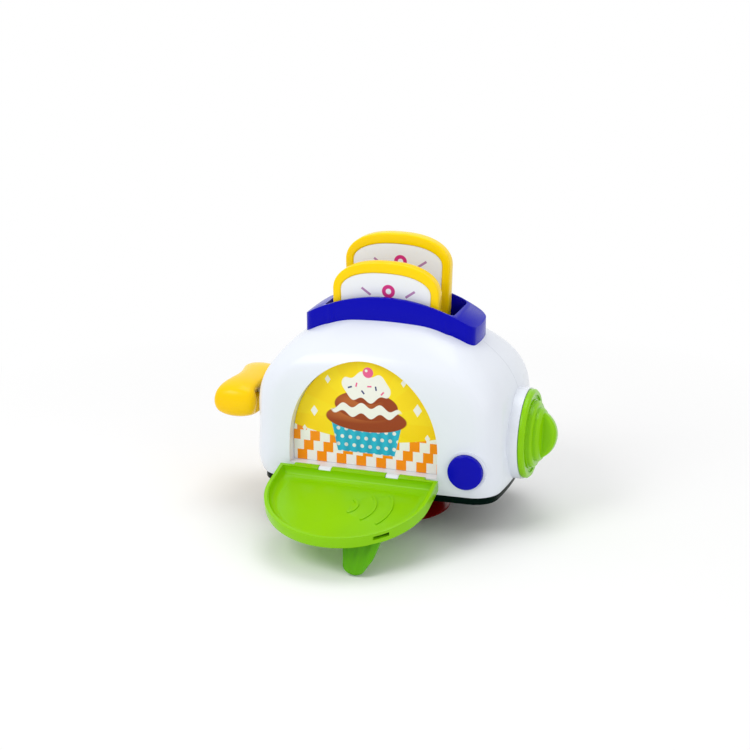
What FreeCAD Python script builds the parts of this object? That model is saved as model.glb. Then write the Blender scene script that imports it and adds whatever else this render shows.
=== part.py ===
import FreeCAD, Part
import math
import os

V = FreeCAD.Vector
AX = V(1, 0, 0)
AY = V(0, 1, 0)
AZ = V(0, 0, 1)

# General clearances and walls
gap = 0.3
run_gap = 0.05
touch = 0.02
press = 0.01
overlap = 1.0
far = 200.0
wall = 2.4
thin_wall = 1.6
screw_r = 1.5
screw_head_r = 2.8
screw_head_h = 1.8
screw_drive_r = 1.0
boss_r = 3.4
post_h = 6.5
post_web_half = 1.0
post_web_reach = 7.0
pilot_depth = 5.0

# Casing
body_bottom = 27.5
body_half_w = 81.5
body_half_d = 50.0
body_foot_tuck = 2.0
body_corner = 17.0
body_bow = 1500.0
body_end_bow = 260.0
foot_round_h = 5.5
crown_z = 131.0
collar_half_w = 56.0
collar_half_d = 21.5
collar_corner = 7.0
collar_bow = 330.0
collar_end_bow = 90.0
collar_skirt = 15.0
rim_arch_r = 103.0
rim_crown_z = 142.0

# Toast opening in the collar
slot_half_w = 42.0
slot_half_d = 18.4
liner_wall = 1.2
liner_bottom = 62.0
liner_top = 119.5
slot_corner = 5.0
liner_flange_t = 3.0
liner_flange_side = 2.0

# Picture window
window_x = -6.0
window_half_w = 48.0
window_bottom = 38.5
window_height = 69.5
window_straight = 15.0
window_depth = 8.0
picture_t = 1.2

# Door with its hinge
door_half_w = 51.0
door_length = 73.0
door_straight = 20.0
door_rim_h = 6.0
door_plate = 2.0
door_rim_wall = 2.2
door_open_angle = 101.8
hinge_offset = 4.2
hinge_z = 37.2
hinge_r = 3.4
pin_r = 1.2
lug_spread = 21.8
lug_w = 8.0
hinge_half_w = 42.0
door_edge_gap = 1.2
door_gap = 1.0
relief_h = 0.7
lug_ease = 0.2
lug_root = 1.2
door_edge_r = 1.6
strap_root = 1.5

# Door handle, which also serves as its leg
handle_x = 14.0
handle_from_hinge = 62.0
handle_w = 24.0
handle_tip_w = 15.0
handle_t = 6.0
floor_gap = 0.6

# Release button
button_x = body_half_w - 21.5
button_z = 45.5
button_r = 10.9
button_out = 3.6
button_travel = 3.5
button_face_y = -body_half_d + 0.4
guide_len = 17.0
guide_wall = 1.7
button_run = 0.15
button_skin = 2.4
stem_half = 3.0
cover_t = 1.6
button_coil_r = 5.0
button_coil_turns = 4

# Lever and carriage
travel = 32.0
toast_x = -2.0
toast_y = 12.5
toast_t = 8.0
toast_half_w = 36.5
toast_waist = 34.6
toast_h = 82.0
toast_lobe = 16.5
seat_z = 81.0
seat_step = 13.0
crust_side = 5.0
crust_top = 7.4
face_t = 1.1
plate_t = 3.0
arm_z = 70.0
arm_h = 8.0
arm_w = 5.4
knob_reach = 33.0
knob_half_d = 23.0
knob_z = 70.0
knob_h = 25.0
knob_hollow = 9.0
knob_end = 5.0
knob_floor = 3.2
knob_roof = 3.0
knob_inner_r = 2.5
knob_hub_wall = 2.0
knob_hub_len = 13.0
rod_x = 48.5
rod_r = 1.6
rod_top = 110.0
rod_cap = 0.8
rod_seat_wall = 2.2
spring_r = 3.6
spring_wire = 0.8
spring_turns = 5
spring_gap = 0.2
ear_half = 4.0
ear_reach = 3.6
ear_h = 5.0
carriage_side = 1.0
carriage_front = 0.9
seat_half_w = 28.0
seat_rib_x = 24.0
seat_rib_half = 1.0
seat_wall = 1.2
seat_wall_h = 7.0
lever_run = 0.6
lever_slot_depth = 25.0
lever_socket = 12.0

# Latch between the button and the carriage
latch_x0 = rod_x + 4.5
latch_half = 3.0
latch_z = seat_z - 1.0
latch_bar_half = 2.0
latch_bar_y = 9.0
latch_bar_t = 3.5
latch_nose_w = 5.0
latch_over = 4.0
latch_lift = 0.6
latch_clear = 0.4
latch_reach = 3.5
latch_pad_r = 4.6
latch_pad_t = 1.6

# Dial on the end wall
dial_z = 56.4
dial_r = 28.0
dial_back = body_half_w + 5.2
dial_boss_depth = 12.0
dial_boss_r = 28.8
flange_t = 3.6
ring_r = 21.0
ring_t = 3.2
cap_r = 17.0
cap_t = 3.4
grip_h = 8.5
grip_w = 9.0
grip_turn = 78.0
shaft_r = 4.0
wheel_r = 11.5
wheel_t = 4.0
wheel_teeth = 12
tooth_depth = 1.5
shaft_seat = 6.0
leaf_t = 0.6
leaf_inset = 0.5
leaf_bump_r = 0.8
leaf_low = 6.0
leaf_high = 12.0
rib_low = 7.0

# Base and suction cup
base_top = body_bottom - gap
base_h = 4.6
base_inset = 1.4
base_floor = 2.4
spigot_h = 3.2
cup_r = 36.0
cup_wall = 2.2
cup_height = 13.0
cup_neck_r = 9.0
stem_r = 5.0
stem_over = 2.0
hub_wall = 3.0
hub_h = 2.0
socket_wall = 2.4
socket_h = 4.0
washer_w = 4.0
washer_t = 1.8

# Screws between the shells and under the base
case_screw_points = (
    (body_half_w - 6.5, body_bottom + 8.5),
    (41.5 - body_half_w, body_bottom + 7.1),
    (body_half_w - 19.5, crown_z - 36.0),
    (19.5 - body_half_w, crown_z - 36.0),
)
case_screw_bite = 14.0
screw_seat_y = 22.0
base_screw_x = 28.0
base_screw_y = body_half_d - 8.0

os.makedirs("parts", exist_ok=True)


def export(name, shape):
    """Write one piece to its own STEP file."""
    shape.exportStep("parts/" + name + ".step")


def box(x0, x1, y0, y1, z0, z1):
    """Box between two corners."""
    return Part.makeBox(x1 - x0, y1 - y0, z1 - z0, V(x0, y0, z0))


def rod(radius, start, end):
    """Cylinder between two points."""
    return Part.makeCylinder(radius, (end - start).Length, start, end - start)


def oval_wire(z, half_x, half_y, front_r, end_r, corner_r):
    """Closed outline of four long arcs joined by four tangent corner arcs."""
    a = half_x - corner_r
    b = half_y - corner_r
    for _ in range(30):
        a = half_x - end_r + math.sqrt((end_r - corner_r) ** 2 - b * b)
        b = half_y - front_r + math.sqrt((front_r - corner_r) ** 2 - a * a)
    front_c = half_y - front_r
    end_c = half_x - end_r
    reach = math.hypot(a, b - front_c)
    front_x = a * front_r / reach
    front_y = front_c + (b - front_c) * front_r / reach
    reach = math.hypot(a - end_c, b)
    end_x = end_c + (a - end_c) * end_r / reach
    end_y = b * end_r / reach
    mid = math.atan2(0.5 * (front_y + end_y) - b, 0.5 * (front_x + end_x) - a)
    tip_x = a + corner_r * math.cos(mid)
    tip_y = b + corner_r * math.sin(mid)
    points = []
    for sx, sy in ((1, 1), (-1, 1), (-1, -1), (1, -1)):
        quarter = [(end_x, end_y), (tip_x, tip_y), (front_x, front_y)]
        if sx * sy < 0:
            quarter.reverse()
        points.append([V(sx * x, sy * y, z) for x, y in quarter])
    mids = [V(0, half_y, z), V(-half_x, 0, z), V(0, -half_y, z), V(half_x, 0, z)]
    edges = []
    for k in range(4):
        p = points[k]
        edges.append(Part.Arc(p[0], p[1], p[2]).toShape())
        edges.append(Part.Arc(p[2], mids[k], points[(k + 1) % 4][0]).toShape())
    return Part.Wire(edges)


def body_outline(z, inset):
    """Casing outline at its foot, drawn inwards by inset."""
    return oval_wire(z, body_half_w - body_foot_tuck - inset, body_half_d - body_foot_tuck - inset,
                     body_bow, body_end_bow, body_corner - inset)


def body_plate(z0, z1, inset):
    """Flat plate with the casing's outline at its foot."""
    return Part.Face(body_outline(z0, inset)).extrude(V(0, 0, z1 - z0))


def collar_plate(z0, z1, inset):
    """Upright block with the collar's outline."""
    wire = oval_wire(z0, collar_half_w - inset, collar_half_d - inset, collar_bow, collar_end_bow,
                     collar_corner - inset)
    return Part.Face(wire).extrude(V(0, 0, z1 - z0))


def round_plate(z0, z1, half_x, half_y, corner_r):
    """Upright block with rounded upright corners."""
    block = box(-half_x, half_x, -half_y, half_y, z0, z1)
    return block.makeFillet(corner_r, [e for e in block.Edges if abs(e.tangentAt(0).z) > 0.9])


def casing_form(inset):
    """Domed casing as one smooth form, drawn inwards by inset."""
    w = body_half_w
    d = body_half_d
    high = crown_z - body_bottom
    stations = (
        (body_bottom, w - body_foot_tuck, d - body_foot_tuck, body_bow, body_end_bow, body_corner),
        (body_bottom + 0.05 * high, w - 0.3, d - 0.1, body_bow, body_end_bow, body_corner),
        (body_bottom + 0.28 * high, w, d, body_bow, body_end_bow, body_corner),
        (body_bottom + 0.55 * high, w - 1.5, d, body_bow, body_end_bow, body_corner),
        (body_bottom + 0.69 * high, w - 8.5, d - 1.0, 0.5 * body_bow, 190.0, body_corner + 2),
        (body_bottom + 0.78 * high, w - 17.5, d - 4.2, 300.0, 130.0, body_corner + 4),
        (body_bottom + 0.85 * high, w - 27.0, d - 10.5, 160.0, 90.0, body_corner + 4),
        (body_bottom + 0.91 * high, w - 38.5, d - 18.5, 110.0, 60.0, body_corner),
        (body_bottom + 0.96 * high, w - 51.5, d - 27.5, 75.0, 40.0, body_corner - 5),
        (crown_z, w - 64.0, d - 37.5, 40.0, 25.0, 8.0),
    )
    wires = []
    for k, (z, half_x, half_y, front_r, end_r, corner_r) in enumerate(stations):
        drop = inset if k > 4 else 0.3 * inset * k / 4
        if k == 0:
            drop = inset
        wires.append(oval_wire(z - drop, half_x - inset, half_y - inset, front_r, end_r,
                               max(corner_r - inset, 3.0)))
    return Part.makeLoft(wires, True)


def arch_block(crown_z, radius, reach):
    """Everything below a gentle arch that runs along the casing."""
    drum = Part.makeCylinder(radius, 2 * reach, V(0, -reach, crown_z - radius), AY)
    slab = box(-reach, reach, -reach, reach, -reach, crown_z)
    return drum.common(slab)


def d_wire(x_mid, half_w, z0, straight, height, y):
    """Window outline: short upright sides under a half ellipse."""
    rise = height - straight
    left = V(x_mid - half_w, y, z0)
    right = V(x_mid + half_w, y, z0)
    left_up = V(x_mid - half_w, y, z0 + straight)
    right_up = V(x_mid + half_w, y, z0 + straight)
    centre = V(x_mid, y, z0 + straight)
    if rise >= half_w:
        ellipse = Part.Ellipse(centre + V(0, 0, rise), centre + V(half_w, 0, 0), centre)
    else:
        ellipse = Part.Ellipse(centre + V(half_w, 0, 0), centre + V(0, 0, rise), centre)
    u0 = ellipse.parameter(right_up)
    u1 = ellipse.parameter(left_up)
    top = V(x_mid, y, z0 + height)
    arc = Part.ArcOfEllipse(ellipse, u0, u1 if u1 > u0 else u1 + 2 * math.pi)
    if arc.toShape().distToShape(Part.Vertex(top))[0] > 0.01:
        arc = Part.ArcOfEllipse(ellipse, u1, u0 if u0 > u1 else u0 + 2 * math.pi)
    edges = [Part.makeLine(left, right), Part.makeLine(right, right_up), arc.toShape(),
             Part.makeLine(left_up, left)]
    return Part.Wire(Part.__sortEdges__(edges))


def d_block(grow, y0, y1, door=False):
    """Window-shaped block between two depths, grown all round."""
    if door:
        x_mid, half, z0 = window_x - 0.5, door_half_w, hinge_z + door_edge_gap
        straight, height = door_straight, door_length - door_edge_gap
    else:
        x_mid, half, z0 = window_x, window_half_w, window_bottom
        straight, height = window_straight, window_height
    wire = d_wire(x_mid, half + grow, z0 - grow, straight + grow, height + 2 * grow, y0)
    return Part.Face(wire).extrude(V(0, y1 - y0, 0))


front_y = -body_half_d
wheel_x = dial_back - gap - wall - dial_boss_depth
leaf_y = -wheel_r - overlap
picture_front = front_y + window_depth
hinge_y = front_y - hinge_offset
outer_form = casing_form(0)
inner_form = casing_form(wall)
below_rim = arch_block(rim_crown_z, rim_arch_r, far)


def case_boss(x, z, y0, y1):
    """Screw post that runs from one shell's wall to the seam."""
    return rod(boss_r, V(x, y0, z), V(x, y1, z))


def make_casing():
    """Front and back shells."""
    whole = outer_form.copy()
    boss_root = body_half_w - dial_boss_depth
    boss = rod(dial_boss_r, V(boss_root, 0, dial_z), V(dial_back - gap, 0, dial_z))
    whole = whole.fuse(boss)
    hollow = inner_form.copy()
    boss_hollow = rod(dial_boss_r - wall, V(boss_root - boss_r, 0, dial_z),
                      V(dial_back - gap - wall, 0, dial_z))
    hollow = hollow.fuse(boss_hollow)
    shell = whole.cut(hollow)
    mouth = round_plate(crown_z - 2 * collar_skirt, far, slot_half_w + liner_wall + gap,
                        slot_half_d + liner_wall + gap, slot_corner + liner_wall)
    shell = shell.cut(mouth)
    front = shell.common(box(-far, far, -far, -touch, -far, far))
    back = shell.common(box(-far, far, touch, far, -far, far))

    # Picture well in the front shell
    well = d_block(wall, front_y + overlap, picture_front + picture_t + thin_wall)
    well = well.common(outer_form)
    front = front.fuse(well)
    front = front.cut(d_block(0, front_y - overlap, picture_front + picture_t + touch))

    # Button guide
    tube = rod(button_r + guide_wall, V(button_x, button_face_y, button_z),
               V(button_x, button_face_y + guide_len, button_z))
    bore = rod(button_r + button_run, V(button_x, front_y - overlap, button_z),
               V(button_x, button_face_y + guide_len + overlap, button_z))
    front = front.fuse(tube).cut(bore)

    # Hinge lugs
    for side in (-1, 1):
        x = window_x - 0.5 + side * lug_spread
        lug = rod(hinge_r - lug_ease, V(x - lug_w / 2, hinge_y, hinge_z), V(x + lug_w / 2, hinge_y, hinge_z))
        root = box(x - lug_w / 2, x + lug_w / 2, hinge_y, front_y + lug_root,
                   hinge_z - hinge_r + lug_ease, hinge_z + hinge_r - lug_root)
        front = front.fuse(lug).fuse(root)
    pin = rod(pin_r, V(window_x - 0.5 - hinge_half_w, hinge_y, hinge_z),
              V(window_x - 0.5 + hinge_half_w, hinge_y, hinge_z))
    front = front.cut(pin)

    # Screw posts across the seam and over the base
    for x, z in case_screw_points:
        front_post = case_boss(x, z, overlap - body_half_d, -gap / 2).common(outer_form)
        back_post = case_boss(x, z, gap / 2, body_half_d - overlap).common(outer_form)
        front = front.fuse(front_post)
        back = back.fuse(back_post)
        front = front.cut(rod(screw_r, V(x, -case_screw_bite, z), V(x, overlap, z)))
        back = back.cut(rod(screw_r + gap, V(x, -overlap, z), V(x, far, z)))
        back = back.cut(rod(screw_head_r + gap, V(x, screw_seat_y, z), V(x, far, z)))
    for sx in (-1, 1):
        x = sx * base_screw_x
        low = base_top + spigot_h + gap
        for sy in (-1, 1):
            y = sy * base_screw_y
            y0, y1 = sorted((y, y + sy * post_web_reach))
            post = rod(boss_r, V(x, y, low), V(x, y, low + post_h))
            web = box(x - post_web_half, x + post_web_half, y0, y1, low, low + post_h)
            post = post.fuse(web).common(outer_form)
            post = post.cut(rod(screw_r, V(x, y, low - overlap), V(x, y, low + pilot_depth)))
            if sy < 0:
                front = front.fuse(post)
            else:
                back = back.fuse(post)

    # Rib that holds the click spring
    rib = box(wheel_x - overlap, wheel_x + wheel_t + overlap, front_y, leaf_y,
              dial_z + rib_low, dial_z + leaf_high)
    front = front.fuse(rib.common(outer_form))

    # Lever slot and dial shaft hole through the seam
    slot = box(-far, lever_slot_depth - body_half_w, -arm_w / 2 - lever_run, arm_w / 2 + lever_run,
               arm_z - travel - arm_h / 2 - lever_run, arm_z + arm_h / 2 + lever_run)
    hole = rod(shaft_r + run_gap, V(wheel_x, 0, dial_z), V(dial_back + overlap, 0, dial_z))
    front = front.cut(slot).cut(hole)
    back = back.cut(slot).cut(hole)
    return front, back


front_shell, back_shell = make_casing()
export("front_shell", front_shell)
export("back_shell", back_shell)


def make_collar():
    """Collar with its arched rim, seated on the casing's dome."""
    low = liner_top - collar_skirt
    opening = round_plate(0, far, slot_half_w, slot_half_d, slot_corner)
    block = collar_plate(low, rim_crown_z + overlap, 0).common(below_rim).cut(outer_form)
    hollow = collar_plate(low, rim_crown_z, wall)
    hollow = hollow.common(arch_block(rim_crown_z - wall, rim_arch_r - wall, far))
    block = block.cut(hollow)
    sleeve = round_plate(liner_top + gap, rim_crown_z + overlap, slot_half_w + liner_wall,
                         slot_half_d + liner_wall, slot_corner + liner_wall)
    block = block.fuse(sleeve.common(below_rim))
    return block.cut(opening)


top_collar = make_collar()
export("top_collar", top_collar)


def make_liner():
    """Chute that guides the toast slices and carries the rod tops."""
    half_x = slot_half_w + liner_wall
    half_y = slot_half_d + liner_wall
    tube = round_plate(liner_bottom, liner_top, half_x, half_y, slot_corner + liner_wall)
    flange = round_plate(rod_top - liner_flange_t, rod_top, rod_x + rod_r + rod_seat_wall,
                         half_y + liner_flange_side, slot_corner)
    tube = tube.fuse(flange.common(casing_form(wall + gap)))
    tube = tube.cut(round_plate(0, far, slot_half_w, slot_half_d, slot_corner))
    ear_slot = box(-far, far, -ear_half - gap, ear_half + gap, 0, seat_z + ear_half)
    tube = tube.cut(ear_slot)
    for side in (-1, 1):
        tube = tube.cut(rod(rod_r, V(side * rod_x, 0, 0), V(side * rod_x, 0, rod_top - rod_cap)))
    return tube


export("slot_liner", make_liner())


def make_base():
    """Base tray with a spigot inside the shells and sockets for the rods."""
    low = base_top - base_h
    tray = body_plate(low, base_top, base_inset)
    inner = wall + 2 * gap
    tray = tray.fuse(body_plate(base_top - overlap, base_top + spigot_h, inner))
    tray = tray.cut(body_plate(low + base_floor, far, inner + wall))
    for side in (-1, 1):
        socket = rod(rod_r + socket_wall, V(side * rod_x, 0, low + overlap),
                     V(side * rod_x, 0, base_top + socket_h))
        tray = tray.fuse(socket)
        tray = tray.cut(rod(rod_r, V(side * rod_x, 0, low + base_floor), V(side * rod_x, 0, far)))
        for y in (-base_screw_y, base_screw_y):
            x = side * base_screw_x
            post = rod(boss_r, V(x, y, low + overlap), V(x, y, base_top + spigot_h))
            tray = tray.fuse(post)
            tray = tray.cut(rod(screw_r + gap, V(x, y, 0), V(x, y, far)))
            tray = tray.cut(rod(screw_head_r + gap, V(x, y, 0), V(x, y, low + screw_head_h)))
    hub = rod(stem_r + hub_wall, V(0, 0, low + overlap), V(0, 0, base_top + hub_h))
    tray = tray.fuse(hub).cut(rod(stem_r + gap, V(0, 0, 0), V(0, 0, far)))
    return tray


base_tray = make_base()
export("base_tray", base_tray)


def make_cup():
    """Suction cup: thin bell with a neck and a headed stem, turned about Z."""
    low = base_top - base_h
    neck_z = cup_height
    outer = [V(cup_r, 0, 0), V(cup_r, 0, 1.2), V(cup_r * 0.8, 0, cup_height * 0.5),
             V(cup_neck_r + 6, 0, cup_height * 0.86), V(cup_neck_r, 0, neck_z + 2)]
    curve = Part.BSplineCurve()
    curve.interpolate(outer[1:])
    inner_top = cup_height - cup_wall
    under = [V(cup_neck_r * 0.4, 0, inner_top), V(cup_r * 0.5, 0, inner_top * 0.78),
             V(cup_r * 0.8, 0, inner_top * 0.4), V(cup_r - cup_wall * 0.5, 0, 0)]
    dome = Part.BSplineCurve()
    dome.interpolate(under)
    top = base_top + hub_h + gap
    line = Part.makeLine
    edges = [
        line(outer[0], outer[1]), curve.toShape(),
        line(outer[-1], V(cup_neck_r, 0, low - gap)),
        line(V(cup_neck_r, 0, low - gap), V(stem_r, 0, low - gap)),
        line(V(stem_r, 0, low - gap), V(stem_r, 0, top + stem_over)),
        line(V(stem_r, 0, top + stem_over), V(0, 0, top + stem_over)),
        line(V(0, 0, top + stem_over), V(0, 0, inner_top)),
        line(V(0, 0, inner_top), under[0]), dome.toShape(),
        line(under[-1], outer[0]),
    ]
    face = Part.Face(Part.Wire(edges))
    return face.revolve(V(0, 0, 0), AZ, 360)


export("suction_cup", make_cup())
cup_top = base_top + hub_h
washer = rod(stem_r + washer_w, V(0, 0, cup_top + touch), V(0, 0, cup_top + washer_t))
washer = washer.cut(rod(stem_r + touch, V(0, 0, 0), V(0, 0, far)))
export("cup_retainer", washer)

# Picture panel in the window
export("picture_panel", d_block(-0.2, picture_front, picture_front + picture_t))


def make_door():
    """Door tray, drawn shut over the window and then swung open."""
    x_mid = window_x - 0.5
    inner_y = front_y - door_gap
    plate_y = inner_y - door_rim_h
    outer_y = plate_y - door_plate
    tray = d_block(0, outer_y, inner_y, True)
    hard = [e for e in tray.Edges if abs(e.CenterOfMass.y - outer_y) < 0.01 and e.CenterOfMass.z > hinge_z + 5]
    tray = tray.makeFillet(door_edge_r, hard)
    tray = tray.cut(d_block(-door_rim_wall, plate_y, 0, True))
    barrel = rod(hinge_r, V(x_mid - hinge_half_w, hinge_y, hinge_z), V(x_mid + hinge_half_w, hinge_y, hinge_z))
    strap = box(x_mid - hinge_half_w, x_mid + hinge_half_w, hinge_y - hinge_r + 0.4, hinge_y + strap_root,
                hinge_z, hinge_z + door_edge_gap + 1.2)
    tray = tray.fuse(barrel).fuse(strap)
    for side in (-1, 1):
        x = x_mid + side * lug_spread
        notch = rod(hinge_r + 2.0, V(x - lug_w / 2 - gap, hinge_y, hinge_z),
                    V(x + lug_w / 2 + gap, hinge_y, hinge_z))
        tray = tray.cut(notch)
        behind = box(x - lug_w / 2 - gap, x + lug_w / 2 + gap, hinge_y, 0, hinge_z - 10, hinge_z + 5)
        tray = tray.cut(behind)
    tray = tray.cut(rod(pin_r + run_gap, V(-far, hinge_y, hinge_z), V(far, hinge_y, hinge_z)))

    # Raised arcs on the inner face
    for k, (ring_r1, ring_w, spread) in enumerate(((30.0, 1.6, 32), (20.0, 1.6, 42), (9.0, 2.0, 60))):
        centre = V(x_mid, plate_y + relief_h, hinge_z + 30)
        band = Part.makeCylinder(ring_r1, relief_h + 0.4, centre, -AY, 2 * spread)
        band = band.cut(Part.makeCylinder(ring_r1 - ring_w, 5, centre + V(0, 1, 0), -AY))
        band.rotate(centre, AY, -90 + spread)
        tray = tray.fuse(band.common(d_block(-door_rim_wall - 1, plate_y - 1, plate_y + 5, True)))

    # Catch recess in the rim
    catch_x = x_mid + 33
    tray = tray.cut(box(catch_x - 4, catch_x + 4, plate_y + 1.6, plate_y + 4, hinge_z + 40, hinge_z + 80))
    pocket = box(handle_x - handle_w / 2, handle_x + handle_w / 2, outer_y - 1, outer_y + 1.0,
                 hinge_z + handle_from_hinge - handle_t / 2, hinge_z + handle_from_hinge + handle_t / 2)
    return tray.cut(pocket), outer_y


def make_handle(outer_y):
    """Tapered fluted tongue on the door's outer face."""
    drop = math.cos(math.radians(door_open_angle - 90))
    lean = math.sin(math.radians(door_open_angle - 90))
    root_z = hinge_z - handle_from_hinge * lean - (hinge_y - outer_y) * drop
    length = (root_z - floor_gap - handle_t * 0.5 * lean) / drop
    z0 = hinge_z + handle_from_hinge - handle_t / 2
    y0 = outer_y + overlap - touch
    tip = outer_y - length
    half = handle_w / 2 - touch
    tip_half = handle_tip_w / 2
    z0 += touch
    height = handle_t - 2 * touch
    a = V(handle_x - half, y0, z0)
    b = V(handle_x + half, y0, z0)
    c = V(handle_x + tip_half, tip + tip_half * 0.8, z0)
    d = V(handle_x, tip, z0)
    e = V(handle_x - tip_half, tip + tip_half * 0.8, z0)
    edges = [Part.makeLine(a, b), Part.makeLine(b, c), Part.Arc(c, d, e).toShape(), Part.makeLine(e, a)]
    tongue = Part.Face(Part.Wire(edges)).extrude(V(0, 0, height))
    tongue = tongue.makeFillet(0.8, [g for g in tongue.Edges if abs(g.tangentAt(g.FirstParameter).z) < 0.2
                                     and g.CenterOfMass.y < outer_y - 2])
    for k in (-1, 0, 1):
        x = handle_x + k * handle_tip_w * 0.3
        groove = rod(1.1, V(x, outer_y - 3, z0 + height + 0.5), V(x, tip + 3, z0 + height + 0.5))
        tongue = tongue.cut(groove)
    return tongue


def swing(shape):
    """Turn a door piece from shut to open about the hinge."""
    moved = shape.copy()
    moved.rotate(V(0, hinge_y, hinge_z), AX, door_open_angle)
    return moved


door, door_outer_y = make_door()
export("door", swing(door))
export("door_handle", swing(make_handle(door_outer_y)))
export("hinge_pin", rod(pin_r, V(window_x - 0.5 - hinge_half_w + 0.5, hinge_y, hinge_z),
                        V(window_x - 0.5 + hinge_half_w - 0.5, hinge_y, hinge_z)))


def make_button():
    """Round button, hollow behind."""
    face_y = button_face_y - button_out
    back_y = button_face_y + guide_len - button_travel - 2
    disc = rod(button_r, V(button_x, face_y, button_z), V(button_x, back_y, button_z))
    disc = disc.makeFillet(1.4, [e for e in disc.Edges if e.CenterOfMass.y < face_y + 0.1])
    cup = rod(button_r - thin_wall, V(button_x, face_y + button_skin, button_z),
              V(button_x, back_y + overlap, button_z))
    return disc.cut(cup), face_y, back_y


button, button_front, button_back = make_button()
cover_y = button_face_y + guide_len
stem_y = cover_y + cover_t + gap
button_stem = rod(stem_half, V(button_x, button_front + overlap, button_z), V(button_x, stem_y, button_z))
export("button", button.fuse(button_stem))

# Cover plate behind the button, which its spring bears on
cover = rod(button_r + guide_wall, V(button_x, cover_y + touch, button_z),
            V(button_x, cover_y + cover_t, button_z))
cover = cover.cut(rod(stem_half + gap, V(button_x, -far, button_z), V(button_x, far, button_z)))
export("button_cover", cover)


def make_spring(radius, wire, length, turns):
    """Open coil along Z from zero, with a square wire."""
    rise = (length - wire) / turns
    helix = Part.makeHelix(rise, length - wire, radius)
    half = wire / 2
    corners = [V(radius - half, 0, -half), V(radius + half, 0, -half), V(radius + half, 0, half),
               V(radius - half, 0, half)]
    profile = Part.makePolygon(corners + [corners[0]])
    coil = Part.Wire(helix).makePipeShell([profile], True, True)
    coil.translate(V(0, 0, half))
    return coil


button_coil_len = cover_y - (button_front + button_skin) - 2 * gap
coil = make_spring(button_coil_r, spring_wire, button_coil_len, button_coil_turns)
coil.rotate(V(0, 0, 0), AX, -90)
coil.translate(V(button_x, button_front + button_skin + gap, button_z))
export("button_spring", coil)


def make_latch():
    """Arm on the button stem whose nose holds the carriage down."""
    down_top = latch_z - travel
    side_x = button_x + latch_half
    low_z = button_z - latch_bar_half
    arm = box(button_x - latch_half, side_x, stem_y + touch, latch_bar_y, low_z, button_z + latch_bar_half)
    reach = box(latch_x0, side_x, latch_bar_y - latch_bar_t, latch_bar_y, low_z, down_top + latch_over)
    nose = box(latch_x0, latch_x0 + latch_nose_w, latch_half + latch_clear, latch_bar_y,
               down_top + latch_lift, down_top + latch_over)
    pad = rod(latch_pad_r, V(button_x, stem_y + touch, button_z),
              V(button_x, stem_y + latch_pad_t, button_z))
    return arm.fuse(reach).fuse(nose).fuse(pad)


export("latch_arm", make_latch())


def make_carriage():
    """Carriage plate with two seats, ears on the guide rods and the latch tongue."""
    top = seat_z - touch
    half_x = slot_half_w - carriage_side
    half_y = slot_half_d - carriage_front
    body = round_plate(top - plate_t, top, half_x, half_y, slot_corner)
    for y, rise in ((-toast_y, 0), (toast_y, seat_step)):
        for side in (-1, 1):
            wall_y = y + side * (toast_t / 2 + gap)
            y0, y1 = sorted((wall_y, wall_y + side * seat_wall))
            y0 = max(y0, -half_y)
            y1 = min(y1, half_y)
            body = body.fuse(box(-seat_half_w, seat_half_w, y0, y1, top - overlap, top + rise + seat_wall_h))
        if rise:
            half_t = toast_t / 2 + overlap
            for x in (-seat_rib_x, 0, seat_rib_x):
                rib = box(x - seat_rib_half, x + seat_rib_half, y - half_t, y + half_t, top - overlap, top + rise)
                body = body.fuse(rib)
    for side in (-1, 1):
        x0, x1 = sorted((side * (half_x - 2 * overlap), side * (rod_x + ear_reach)))
        ear = box(x0, x1, -ear_half, ear_half, top - plate_t - ear_h, top)
        body = body.fuse(ear).cut(rod(rod_r + run_gap, V(side * rod_x, 0, 0), V(side * rod_x, 0, far)))
    tongue = box(rod_x + latch_half, latch_x0 + latch_reach, -latch_half, latch_half, latch_z - plate_t, latch_z)
    return body.fuse(tongue)


export("carriage", make_carriage())


def make_arm():
    """Lever arm from the carriage ear through the casing slot."""
    ear_x = -(rod_x + ear_reach)
    high = seat_z - plate_t
    upright = box(ear_x - latch_bar_t, ear_x - touch, -arm_w / 2, arm_w / 2, arm_z - arm_h / 2, high)
    bar = box(-body_half_w - lever_socket, ear_x - touch, -arm_w / 2, arm_w / 2,
              arm_z - arm_h / 2, arm_z + arm_h / 2)
    return bar.fuse(upright)


export("lever_arm", make_arm())


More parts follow.
